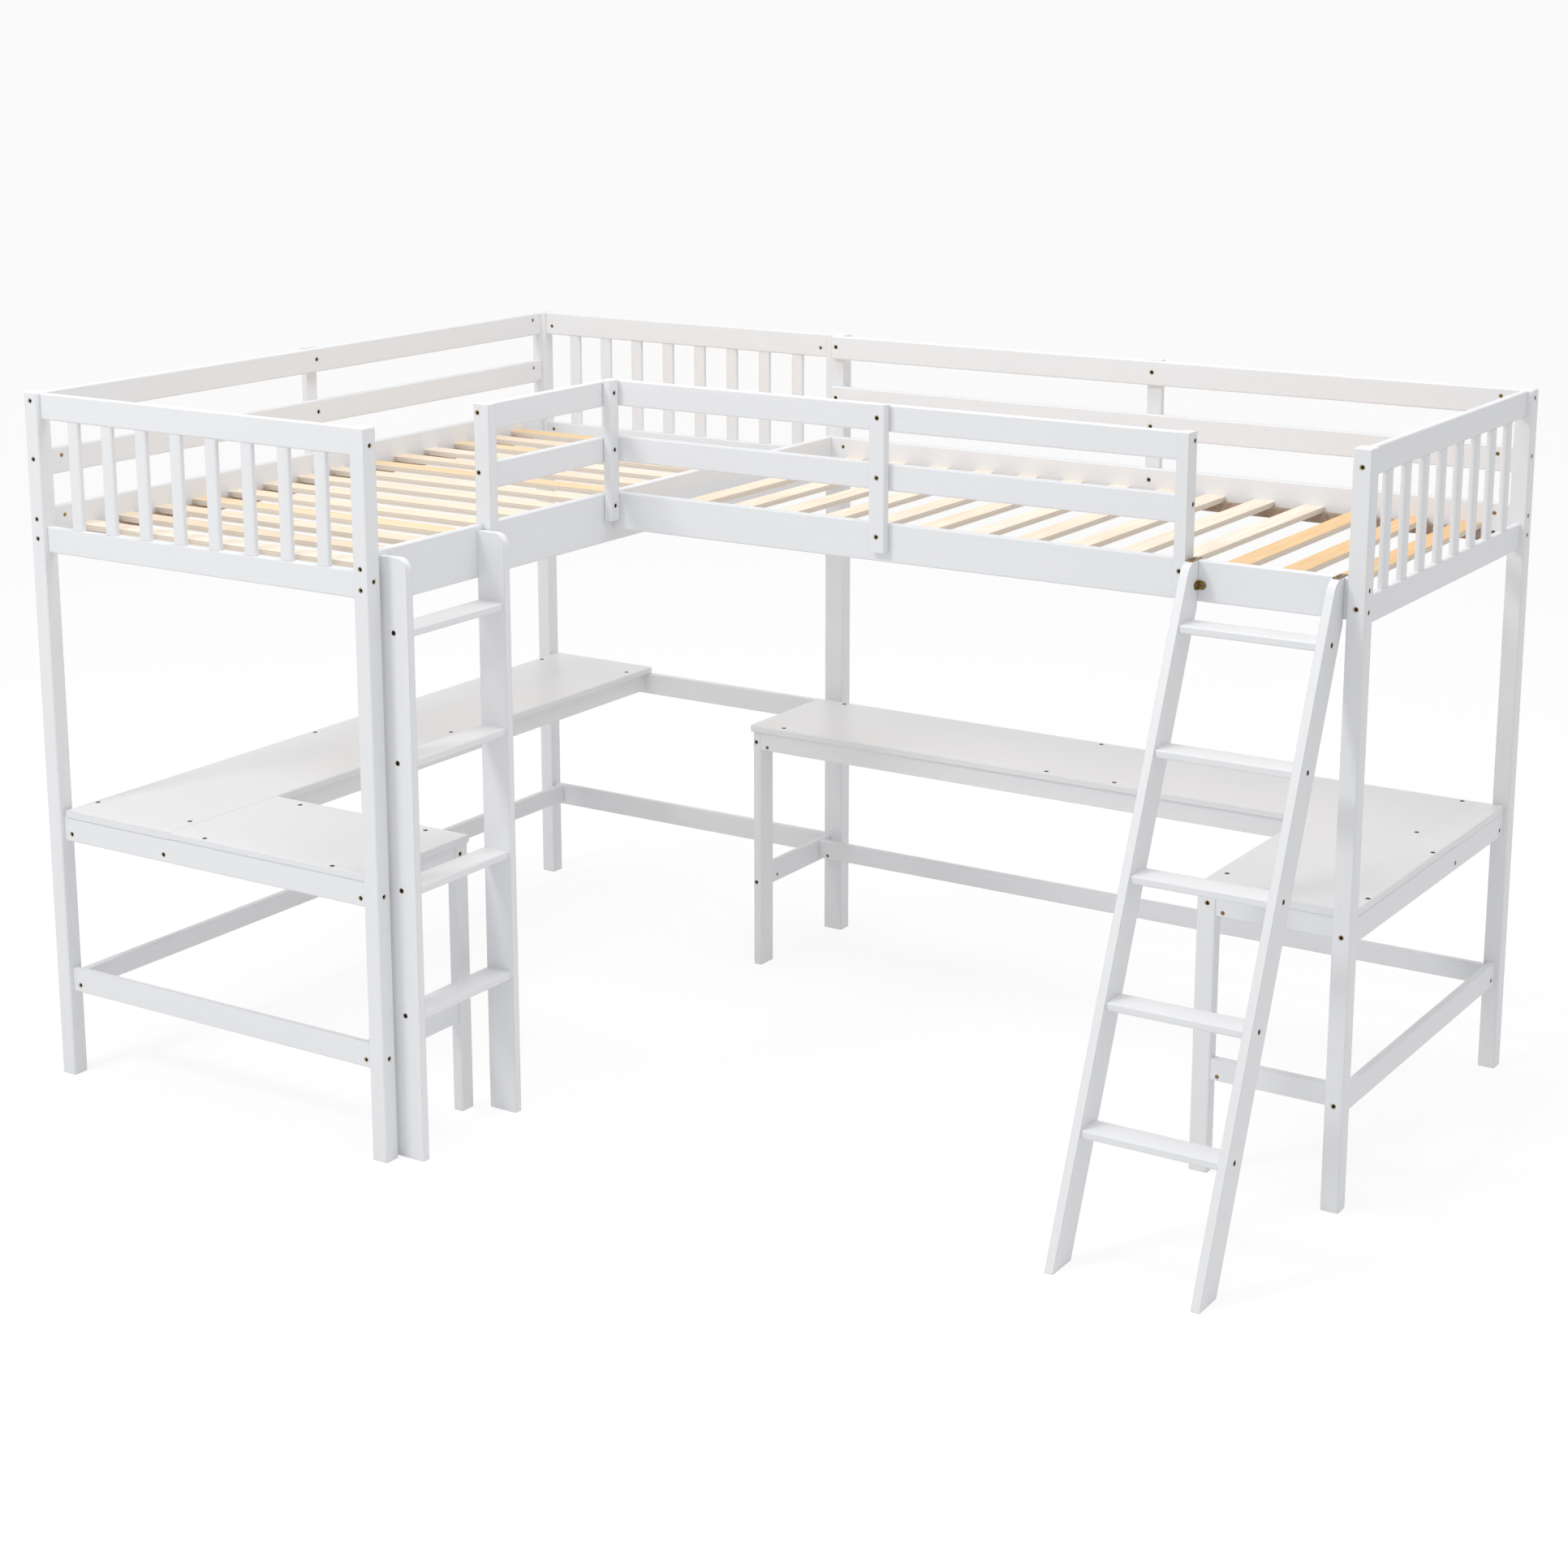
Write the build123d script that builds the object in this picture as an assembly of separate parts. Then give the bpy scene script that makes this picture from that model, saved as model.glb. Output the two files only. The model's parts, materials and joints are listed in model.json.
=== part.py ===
from build123d import *
from math import atan, cos, degrees, pi
import os

# L-shaped loft bed: two high single beds that meet at a corner, with an L-shaped
# desk under each, a vertical ladder and a hook-on slanted ladder.
# X runs to the right along the back wall, Y towards the back wall, Z up, in millimetres.
# The pieces are laid out from the outer front corner of the left bed. The last step
# shifts them so that the origin lies on the floor under the middle of the object.

# Timber sections
POST = 42
SHARED_POST = 57
POST_HEIGHT = 1700
RAIL = 20
PANEL_RAIL = 18
RAIL_HEIGHT = 62
BOARD = 18
EASE = 2.5

# Plan of the left bed, which runs from front to back
LEFT_WIDTH = 1045
LEFT_LENGTH = 2000
SHARED_POST_BACK = 2007
SIDE_RAIL_INSET = 11
PANEL_INSET = 12
POST_INNER_X = LEFT_WIDTH - POST
POST_INNER_Y = LEFT_LENGTH - POST
INNER_RAIL = (1014, 1034)

# Plan of the right bed, which runs along the back
RIGHT_END = 2985
RIGHT_POST_X = RIGHT_END - POST
RIGHT_FRONT_POST_Y = 916
RIGHT_BACK_POST_Y = 1937
FRONT_RAIL = (927, 947)
BACK_RAIL = (1945, 1965)
END_RAIL = (2955, 2973)

# Heights above the floor
TOP_RAIL = (1636, 1698)
MID_RAIL = (1499, 1561)
PANEL_LOW_RAIL = (1317, 1379)
WIDE_RAIL_TOP = 1422
WIDE_RAIL = (1331, WIDE_RAIL_TOP)
INNER_WIDE_RAIL = (1300, WIDE_RAIL_TOP)
UPRIGHT_BOTTOM = 1355
DESK_TOP = 663
DESK_RAIL = (603, DESK_TOP)
APRON = (613, DESK_TOP)
BOARD_Z = (DESK_TOP, DESK_TOP + BOARD)
LOW_RAIL = (216.5, 276.5)
STRETCHER = (225.5, 275.5)

# End panel spindles
SPINDLES = 8
SPINDLE_PITCH = 109
SPINDLE_WIDTH = 36
SPINDLE_THICK = 14

# Slats and the cleats that carry them
SLATS = 14
SLAT_WIDTH = 56
SLAT_Z = (1356, 1370)
CLEAT_Z = (WIDE_RAIL[0], SLAT_Z[0])
CLEAT_WIDTH = 20
CLEAT_END_GAP = 70
LEFT_SLAT_FIRST = 146
LEFT_SLAT_PITCH = 130
RIGHT_SLAT_FIRST = 1113
RIGHT_SLAT_PITCH = 133.2

# Guard rails, their uprights and the battens outside the other sides
LEFT_GUARD_START = 448
UPRIGHT_LAP = 22
LEFT_UPRIGHT = 28
CORNER_UPRIGHT = 37
MIDDLE_UPRIGHT_X = (1777, 1819)
RIGHT_UPRIGHT_X = (2548, 2576)
LEFT_BATTEN_Y = (969, 1011)
LEFT_BATTEN_THICK = 18
BACK_BATTEN_X = (1971, 2013)
BACK_BATTEN_THICK = 16

# Vertical ladder at the front of the left bed's inner side
STRINGER = 20
VERTICAL_LADDER_Y = (52, 416)
VERTICAL_LADDER_DEPTH = 77
VERTICAL_LADDER_TOP = 1410
VERTICAL_TREADS = (346, 644, 942, 1240)
VERTICAL_TREAD_DEPTH = 72
LADDER_ROUND = 28

# Slanted ladder at the right end of the right bed's front
SLANTED_LADDER_X = (2577.5, 2932)
LEAN = 0.405
STRINGER_LEVEL_DEPTH = 83
STRINGER_FRONT_AT_FLOOR = 308
STRINGER_BACK = FRONT_RAIL[0] - 1
SLANTED_TREADS = (273, 526, 779, 1033, 1286)
SLANTED_TREAD_DEPTH = 70
SLANTED_ROUND = 40
HOOK_STRIP = 2.5
HOOK_WIDTH = 16
HOOK_START = 903
HOOK_LIP = 25
BRACKET_LEAF = 20
BRACKET_Z = (1358, 1378)

# Left desk
LONG_BOARD_X = (51, 396)
LONG_BOARD_Y = (10, 1982)
SHORT_BOARD_X = (396, 1001)
SHORT_BOARD_Y = (10, 380)
LEFT_APRON_X = (56, 76)
INNER_APRON_X = (361, 381)
REAR_APRON_Y = (341, 361)
LEG_RAIL_X = (973, 993)
LEFT_LEG_X = (969, 997)
LEFT_LEG_Y = (336, 378)

# Right desk
RIGHT_BOARD_X = (1006, 1990, 2974)
RIGHT_BOARD_Y = (1582, 1930)
RETURN_BOARD_X = (2600, 2974)
RETURN_BOARD_Y = (962, 1582)
FRONT_APRON_Y = (1593, 1613)
BACK_APRON_Y = (1904, 1924)
WALL_LEG_X = (1006, 1030)
WALL_LEG_Y = (1595, 1656)
WALL_LEG_RAIL_X = (1006, 1024)
RETURN_LEG_X = (2604, 2649)
RETURN_LEG_Y = (964, 995)
RETURN_APRON_X = (2619, 2639)
RETURN_FRONT_Y = (966, 986)

# Fasteners: there are many, so a head has six sides, a shank four, and neither a thread
PIN_SIDES = 6
SHANK_SIDES = 4
HEAD = 12.5
HEAD_DEEP = 5
SHANK = 5
NUT = 10
NUT_HOLE = 10.6
NUT_DEEP = 14
SIDE_NUT = 38
PANEL_NUT = 20
SIDE_BOLT_Z = (1680, 1541, 1397, 1350)
PANEL_BOLT_Z = (1660, 1358, 634, 247)
INNER_BOLT_Z = (1387, 1340)
LAP_BOLT_Z = (1669, 1530, 1392)
APRON_BOLT_Z = 622
STRETCHER_BOLT_Z = 235
SCREW_HEAD = 8
SCREW_TIP = 2
SCREW_LENGTH = 40

LEFT_BATTEN_FACE = SIDE_RAIL_INSET - LEFT_BATTEN_THICK
MIDDLE_X = (LEFT_BATTEN_FACE + RIGHT_END) / 2
MIDDLE_Y = SHARED_POST_BACK / 2

RIGHT, LEFT = Vector(1, 0, 0), Vector(-1, 0, 0)
BACK, FRONT = Vector(0, 1, 0), Vector(0, -1, 0)
UP, DOWN = Vector(0, 0, 1), Vector(0, 0, -1)

pieces = {}
bolts = []
nuts = []


def add(node, *solids):
    """Puts solids under a node's name."""
    pieces.setdefault(node, []).extend(solids)


def middle(limits):
    return (limits[0] + limits[1]) / 2


def block(x, y, z):
    """A square-edged piece between its limits on each axis."""
    size = [high - low for low, high in (x, y, z)]
    return Pos(x[0], y[0], z[0]) * Box(*size, align=(Align.MIN, Align.MIN, Align.MIN))


def plank(x, y, z):
    """A planed piece between its limits, with the edges along its grain eased."""
    body = block(x, y, z)
    size = [high - low for low, high in (x, y, z)]
    grain = (Axis.X, Axis.Y, Axis.Z)[size.index(max(size))]
    return chamfer(body.edges().filter_by(grain), EASE)


def pin(at, way, side, width, length, sides=PIN_SIDES):
    """A straight-sided pin, width across its corners, with one corner towards side."""
    plane = Plane(origin=at, x_dir=side, z_dir=way)
    return extrude(plane * RegularPolygon(width / 2, sides), length)


def drill(tool):
    """Cuts a hole through every piece that it reaches."""
    reach = tool.bounding_box()
    for solids in pieces.values():
        for index, solid in enumerate(solids):
            if solid.bounding_box().overlaps(reach):
                solids[index] = solid - tool


def bolt(at, way, length):
    """A bolt with its head sunk flush in the face at its start, and the hole it fills."""
    at = Vector(*at)
    side = UP if way.Z == 0 else RIGHT
    head = pin(at, way, side, HEAD, HEAD_DEEP)
    rest = length - HEAD_DEEP
    whole = head + pin(at + way * HEAD_DEEP, way, side, SHANK, rest, SHANK_SIDES)
    drill(whole)
    bolts.append(whole)


def bolt_to_nut(at, way, reach, nut_way, thick):
    """A bolt into the end grain of a rail, where its end bites a cross nut.

    reach is the way from the head to the middle of the nut. nut_way is the way that
    the nut is pushed in, from the face of a rail that is thick across. The nut's
    flats face along the bolt, so that the bolt meets it squarely.
    """
    start = Vector(*at) + way * reach - nut_way * (thick / 2)
    side = way.cross(nut_way)
    drill(pin(start, nut_way, side, NUT_HOLE, NUT_DEEP))
    bolt(at, way, reach + NUT / 4)
    nuts.append(pin(start, nut_way, side, NUT, NUT_DEEP))


def screw(at, way):
    """A countersunk wood screw, drawn as one taper from its head to its tip."""
    face = Plane(origin=Vector(*at), z_dir=way) * RegularPolygon(SCREW_HEAD / 2, PIN_SIDES)
    across_flats = cos(pi / PIN_SIDES)
    narrowing = atan((SCREW_HEAD - SCREW_TIP) / 2 * across_flats / SCREW_LENGTH)
    return extrude(face, SCREW_LENGTH, taper=degrees(narrowing))


def post(x, y):
    """A leg post from the floor to above the guard rails, its top edges eased."""
    body = plank(x, y, (0, POST_HEIGHT))
    return chamfer(body.faces().sort_by(Axis.Z)[-1].edges(), EASE)


def make_posts():
    front, back = (0, POST), (POST_INNER_Y, LEFT_LENGTH)
    add("left_bed_front_left_post", post((0, POST), front))
    add("left_bed_front_right_post", post((POST_INNER_X, LEFT_WIDTH), front))
    add("left_bed_rear_left_post", post((0, POST), back))
    shared_y = (SHARED_POST_BACK - POST, SHARED_POST_BACK)
    add("shared_rear_post", post((POST_INNER_X, POST_INNER_X + SHARED_POST), shared_y))
    right_x = (RIGHT_POST_X, RIGHT_END)
    front_y = (RIGHT_FRONT_POST_Y, RIGHT_FRONT_POST_Y + POST)
    back_y = (RIGHT_BACK_POST_Y, RIGHT_BACK_POST_Y + POST)
    add("right_bed_front_post", post(right_x, front_y))
    add("right_bed_rear_post", post(right_x, back_y))


def make_side_rails():
    """The wide rails that carry the slats, and the pair of guard rails above each."""
    outer_x = (SIDE_RAIL_INSET, SIDE_RAIL_INSET + RAIL)
    outer_y = (POST, POST_INNER_Y)
    inner_y = (POST, SHARED_POST_BACK - POST)
    right_x = (INNER_RAIL[1], RIGHT_POST_X)
    add("left_bed_outer_wide_rail", plank(outer_x, outer_y, WIDE_RAIL))
    add("left_bed_inner_wide_rail", plank(INNER_RAIL, inner_y, INNER_WIDE_RAIL))
    add("right_bed_front_wide_rail", plank(right_x, FRONT_RAIL, WIDE_RAIL))
    add("right_bed_back_wide_rail", plank(right_x, BACK_RAIL, WIDE_RAIL))
    for z in (TOP_RAIL, MID_RAIL):
        guard_y = (LEFT_GUARD_START, FRONT_RAIL[1])
        guard_x = (INNER_RAIL[1], RIGHT_UPRIGHT_X[0])
        add("left_bed_outer_guard_rails", plank(outer_x, outer_y, z))
        add("left_bed_inner_guard_rails", plank(INNER_RAIL, guard_y, z))
        add("right_bed_front_guard_rails", plank(guard_x, FRONT_RAIL, z))
        add("right_bed_back_guard_rails", plank(right_x, BACK_RAIL, z))


def spindles(centre):
    """The middles of a panel's spindles, spaced evenly about its centre."""
    first = centre - SPINDLE_PITCH * (SPINDLES - 1) / 2
    return [first + SPINDLE_PITCH * number for number in range(SPINDLES)]


def make_end_panels():
    """Three panels of two rails and their spindles, with the two low rails below."""
    across = (POST, POST_INNER_X)
    spindle_z = (PANEL_LOW_RAIL[1], TOP_RAIL[0])
    slack = (PANEL_RAIL - SPINDLE_THICK) / 2
    half = SPINDLE_WIDTH / 2
    for name, start in (("foot", PANEL_INSET), ("head", LEFT_LENGTH - PANEL_INSET - PANEL_RAIL)):
        y = (start, start + PANEL_RAIL)
        for z in (TOP_RAIL, PANEL_LOW_RAIL):
            add(f"left_bed_{name}_panel_rails", plank(across, y, z))
        for z in (DESK_RAIL, LOW_RAIL):
            add(f"left_bed_{name}_low_rails", plank(across, y, z))
        for x in spindles(LEFT_WIDTH / 2):
            thick = (y[0] + slack, y[1] - slack)
            add(f"left_bed_{name}_spindles", block((x - half, x + half), thick, spindle_z))
    along = (RIGHT_FRONT_POST_Y + POST, RIGHT_BACK_POST_Y)
    for z in (TOP_RAIL, PANEL_LOW_RAIL):
        add("right_bed_end_panel_rails", plank(END_RAIL, along, z))
    for z in (DESK_RAIL, LOW_RAIL):
        add("right_bed_end_low_rails", plank(END_RAIL, along, z))
    for y in spindles(middle(along)):
        thick = (END_RAIL[0] + slack, END_RAIL[1] - slack)
        add("right_bed_end_spindles", block(thick, (y - half, y + half), spindle_z))


def lapped_upright(above, lap):
    """An upright that stands on a wide rail and laps down over its outer face."""
    foot_z = (UPRIGHT_BOTTOM, WIDE_RAIL_TOP)
    return block(*above, (WIDE_RAIL_TOP, POST_HEIGHT)) + block(*lap, foot_z)


def make_uprights():
    lap_x = (INNER_RAIL[1], INNER_RAIL[1] + UPRIGHT_LAP)
    lap_y = (FRONT_RAIL[0] - UPRIGHT_LAP, FRONT_RAIL[0])
    front_y = (LEFT_GUARD_START - LEFT_UPRIGHT, LEFT_GUARD_START)
    corner_y = (FRONT_RAIL[0] - CORNER_UPRIGHT, FRONT_RAIL[0])
    tall = (UPRIGHT_BOTTOM, POST_HEIGHT)
    add("left_guard_front_upright",
        lapped_upright(((INNER_RAIL[0], lap_x[1]), front_y), (lap_x, front_y)))
    add("right_guard_end_upright",
        lapped_upright((RIGHT_UPRIGHT_X, (lap_y[0], FRONT_RAIL[1])), (RIGHT_UPRIGHT_X, lap_y)))
    add("corner_upright", plank(lap_x, corner_y, tall))
    add("right_guard_middle_upright", plank(MIDDLE_UPRIGHT_X, lap_y, tall))
    left_x = (LEFT_BATTEN_FACE, SIDE_RAIL_INSET)
    back_y = (BACK_RAIL[1], BACK_RAIL[1] + BACK_BATTEN_THICK)
    add("left_bed_outer_batten", plank(left_x, LEFT_BATTEN_Y, tall))
    add("right_bed_back_batten", plank(BACK_BATTEN_X, back_y, tall))


def make_slats():
    """Slats laid on cleats, which stop short of the rails' ends to clear the nuts."""
    outer_x = SIDE_RAIL_INSET + RAIL
    left_cleat_y = (POST + CLEAT_END_GAP, POST_INNER_Y - CLEAT_END_GAP)
    right_cleat_x = (INNER_RAIL[1] + CLEAT_END_GAP, RIGHT_POST_X - CLEAT_END_GAP)
    for x in ((outer_x, outer_x + CLEAT_WIDTH), (INNER_RAIL[0] - CLEAT_WIDTH, INNER_RAIL[0])):
        add("slat_cleats", block(x, left_cleat_y, CLEAT_Z))
    for y in ((FRONT_RAIL[1], FRONT_RAIL[1] + CLEAT_WIDTH), (BACK_RAIL[0] - CLEAT_WIDTH, BACK_RAIL[0])):
        add("slat_cleats", block(right_cleat_x, y, CLEAT_Z))
    half = SLAT_WIDTH / 2
    for number in range(SLATS):
        y = LEFT_SLAT_FIRST + LEFT_SLAT_PITCH * number
        x = RIGHT_SLAT_FIRST + RIGHT_SLAT_PITCH * number
        add("left_bed_slats", block((outer_x, INNER_RAIL[0]), (y - half, y + half), SLAT_Z))
        add("right_bed_slats", block((x - half, x + half), (FRONT_RAIL[1], BACK_RAIL[0]), SLAT_Z))


def make_vertical_ladder():
    """Two upright stringers on the inner wide rail's face, with four treads between."""
    back = INNER_RAIL[1]
    front = back + VERTICAL_LADDER_DEPTH
    near, far = VERTICAL_LADDER_Y
    for y in (near, far - STRINGER):
        side = block((back, front), (y, y + STRINGER), (0, VERTICAL_LADDER_TOP))
        corner = side.edges().filter_by(Axis.Y).group_by(Axis.Z)[-1].sort_by(Axis.X)[-1]
        add("vertical_ladder_stringers", fillet(corner, LADDER_ROUND))
    for z in VERTICAL_TREADS:
        tread_z = (z - BOARD / 2, z + BOARD / 2)
        tread_y = (near + STRINGER, far - STRINGER)
        add("vertical_ladder_treads", plank((back, back + VERTICAL_TREAD_DEPTH), tread_y, tread_z))


def stringer_front(z):
    """Where the slanted stringers' front edge is at a height."""
    return STRINGER_FRONT_AT_FLOOR + LEAN * z


def slanted_stringer(x):
    """A slanted side, cut level at the floor and upright where it bears on the rail."""
    foot_back = STRINGER_FRONT_AT_FLOOR + STRINGER_LEVEL_DEPTH
    bearing = (STRINGER_BACK - foot_back) / LEAN
    outline = Polyline(
        (STRINGER_FRONT_AT_FLOOR, 0),
        (foot_back, 0),
        (STRINGER_BACK, bearing),
        (STRINGER_BACK, WIDE_RAIL_TOP),
        (stringer_front(WIDE_RAIL_TOP), WIDE_RAIL_TOP),
        close=True,
    )
    face = make_face(Plane.YZ.offset(x) * outline)
    side = extrude(face, STRINGER)
    front = side.edges().filter_by(Axis.X).group_by(Axis.Z)[-1].sort_by(Axis.Y)[0]
    return fillet(front, SLANTED_ROUND)


def hook(x):
    """A strip that lies on the stringer's top and the rail, and turns down behind it."""
    past = FRONT_RAIL[1] + 1
    top = WIDE_RAIL_TOP + HOOK_STRIP
    strip = block((x, x + HOOK_WIDTH), (HOOK_START, past + HOOK_STRIP), (WIDE_RAIL_TOP, top))
    lip = block((x, x + HOOK_WIDTH), (past, past + HOOK_STRIP), (top - HOOK_LIP, top))
    return strip + lip


def bracket(x, way):
    """A small angle: one leaf on a stringer's inner face, one along the rail's front."""
    inner = sorted((x, x + way * HOOK_STRIP))
    across = sorted((x, x + way * BRACKET_LEAF))
    back = (STRINGER_BACK - HOOK_STRIP, STRINGER_BACK)
    leaf = block(inner, (STRINGER_BACK - BRACKET_LEAF, STRINGER_BACK), BRACKET_Z)
    return leaf + block(across, back, BRACKET_Z)


def make_slanted_ladder():
    left, right = SLANTED_LADDER_X
    inside = (left + STRINGER, right - STRINGER)
    add("slanted_ladder_left_stringer", slanted_stringer(left))
    add("slanted_ladder_right_stringer", slanted_stringer(inside[1]))
    for z in SLANTED_TREADS:
        centre = stringer_front(z) + STRINGER_LEVEL_DEPTH / 2
        tread_y = (centre - SLANTED_TREAD_DEPTH / 2, centre + SLANTED_TREAD_DEPTH / 2)
        add("slanted_ladder_treads", plank(inside, tread_y, (z - BOARD / 2, z + BOARD / 2)))
        for x, way in ((left, RIGHT), (right, LEFT)):
            add("slanted_ladder_screws", screw((x, centre, z), way))
    for x in (left, inside[1]):
        add("slanted_ladder_hooks", hook(x + (STRINGER - HOOK_WIDTH) / 2))
    add("slanted_ladder_brackets", bracket(inside[0], 1), bracket(inside[1], -1))


def make_left_desk():
    """An L of two boards: a long one down the left side and a short one at the front."""
    behind_foot = PANEL_INSET + PANEL_RAIL
    before_head = LEFT_LENGTH - behind_foot
    add("left_desk_long_board", plank(LONG_BOARD_X, LONG_BOARD_Y, BOARD_Z))
    add("left_desk_short_board", plank(SHORT_BOARD_X, SHORT_BOARD_Y, BOARD_Z))
    for x in (LEFT_APRON_X, INNER_APRON_X):
        add("left_desk_long_aprons", block(x, (behind_foot, before_head), APRON))
    add("left_desk_side_stretcher", plank(LEFT_APRON_X, (behind_foot, before_head), STRETCHER))
    add("left_desk_rear_apron", block((INNER_APRON_X[1], LEFT_LEG_X[0]), REAR_APRON_Y, APRON))
    add("left_desk_leg", plank(LEFT_LEG_X, LEFT_LEG_Y, (0, DESK_TOP)))
    for z in (APRON, STRETCHER):
        add("left_desk_leg_rails", block(LEG_RAIL_X, (behind_foot, LEFT_LEG_Y[0]), z))


def make_right_desk():
    """An L of three boards: two along the back wall and one that returns to the front."""
    wall_x, join_x, end_x = RIGHT_BOARD_X
    before_back = BACK_RAIL[1]
    add("right_desk_left_board", plank((wall_x, join_x), RIGHT_BOARD_Y, BOARD_Z))
    add("right_desk_right_board", plank((join_x, end_x), RIGHT_BOARD_Y, BOARD_Z))
    add("right_desk_return_board", plank(RETURN_BOARD_X, RETURN_BOARD_Y, BOARD_Z))
    add("right_desk_long_aprons",
        block((WALL_LEG_X[1], END_RAIL[0]), FRONT_APRON_Y, APRON),
        block((WALL_LEG_RAIL_X[1], END_RAIL[0]), BACK_APRON_Y, APRON))
    add("right_desk_back_stretcher", plank((WALL_LEG_RAIL_X[1], END_RAIL[0]), BACK_APRON_Y, STRETCHER))
    add("right_desk_wall_leg", plank(WALL_LEG_X, WALL_LEG_Y, (0, DESK_TOP)))
    for z in (DESK_RAIL, LOW_RAIL):
        add("right_desk_wall_leg_rails", plank(WALL_LEG_RAIL_X, (WALL_LEG_Y[1], before_back), z))
    add("right_desk_return_leg", plank(RETURN_LEG_X, RETURN_LEG_Y, (0, DESK_TOP)))
    add("right_desk_return_apron", block(RETURN_APRON_X, (RETURN_LEG_Y[1], FRONT_APRON_Y[0]), APRON))
    for z in (APRON, STRETCHER):
        add("right_desk_return_front_rails", block((RETURN_LEG_X[1], END_RAIL[0]), RETURN_FRONT_Y, z))


def bolt_bed_corners():
    """Bolts through the posts into the ends of the side rails and the end rails."""
    side_x = SIDE_RAIL_INSET + RAIL / 2
    inner_x = middle(INNER_RAIL)
    foot_y = PANEL_INSET + PANEL_RAIL / 2
    head_y = LEFT_LENGTH - foot_y
    front_y, back_y, end_x = middle(FRONT_RAIL), middle(BACK_RAIL), middle(END_RAIL)
    shared_x = POST_INNER_X + SHARED_POST
    right_back = RIGHT_BACK_POST_Y + POST
    for z in SIDE_BOLT_Z:
        reach = POST + SIDE_NUT
        bolt_to_nut((side_x, 0, z), BACK, reach, LEFT, RAIL)
        bolt_to_nut((side_x, LEFT_LENGTH, z), FRONT, reach, LEFT, RAIL)
        bolt_to_nut((RIGHT_END, back_y, z), LEFT, reach, BACK, RAIL)
    for z in SIDE_BOLT_Z[2:]:
        bolt_to_nut((RIGHT_END, front_y, z), LEFT, POST + SIDE_NUT, FRONT, RAIL)
    for z in INNER_BOLT_Z:
        bolt_to_nut((inner_x, 0, z), BACK, POST + SIDE_NUT, RIGHT, RAIL)
        bolt_to_nut((inner_x, SHARED_POST_BACK, z), FRONT, POST + SIDE_NUT, RIGHT, RAIL)
    for z in PANEL_BOLT_Z:
        reach = POST + PANEL_NUT
        bolt_to_nut((0, foot_y, z), RIGHT, reach, FRONT, PANEL_RAIL)
        bolt_to_nut((0, head_y, z), RIGHT, reach, BACK, PANEL_RAIL)
        bolt_to_nut((LEFT_WIDTH, foot_y, z), LEFT, reach, FRONT, PANEL_RAIL)
        bolt_to_nut((shared_x, head_y, z), LEFT, SHARED_POST + PANEL_NUT, BACK, PANEL_RAIL)
        bolt_to_nut((end_x, RIGHT_FRONT_POST_Y, z), BACK, reach, RIGHT, PANEL_RAIL)
        bolt_to_nut((end_x, right_back, z), FRONT, reach, RIGHT, PANEL_RAIL)


def bolt_bed_joint():
    """Bolts that join the right bed's rails to the left bed's inner side."""
    inner_face, rail_x = INNER_RAIL
    reach = RAIL + SIDE_NUT
    bolt_to_nut((inner_face, middle(BACK_RAIL), SIDE_BOLT_Z[2]), RIGHT, reach, BACK, RAIL)
    for z in SIDE_BOLT_Z[:3]:
        bolt_to_nut((inner_face, middle(FRONT_RAIL), z), RIGHT, reach, FRONT, RAIL)
    lap_x = middle((rail_x, POST_INNER_X + SHARED_POST))
    for z in LAP_BOLT_Z[:2]:
        bolt((lap_x, BACK_RAIL[0], z), BACK, RAIL + POST * 0.7)


def bolt_uprights():
    """Bolts that hold the guard rails, the wide rails, the uprights and the battens."""
    lap_x = INNER_RAIL[1] + UPRIGHT_LAP
    lap_y = FRONT_RAIL[0] - UPRIGHT_LAP
    short = UPRIGHT_LAP + RAIL * 0.8
    for z in SIDE_BOLT_Z[:2]:
        reach = LEFT_UPRIGHT + SIDE_NUT
        front = LEFT_GUARD_START - LEFT_UPRIGHT
        bolt_to_nut((middle(INNER_RAIL), front, z), BACK, reach, RIGHT, RAIL)
        bolt_to_nut((RIGHT_UPRIGHT_X[1], middle(FRONT_RAIL), z), LEFT, reach, FRONT, RAIL)
    bolt((lap_x, LEFT_GUARD_START - LEFT_UPRIGHT / 2, SIDE_BOLT_Z[2]), LEFT, short)
    bolt((middle(RIGHT_UPRIGHT_X), lap_y, SIDE_BOLT_Z[2]), BACK, short)
    for z in LAP_BOLT_Z:
        bolt((lap_x, FRONT_RAIL[0] - CORNER_UPRIGHT / 2, z), LEFT, short)
        bolt((middle(MIDDLE_UPRIGHT_X), lap_y, z), BACK, short)
        batten = RAIL + LEFT_BATTEN_THICK * 0.7
        bolt((SIDE_RAIL_INSET + RAIL, middle(LEFT_BATTEN_Y), z), LEFT, batten)
        bolt((middle(BACK_BATTEN_X), BACK_RAIL[0], z), BACK, RAIL + BACK_BATTEN_THICK * 0.7)


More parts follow.
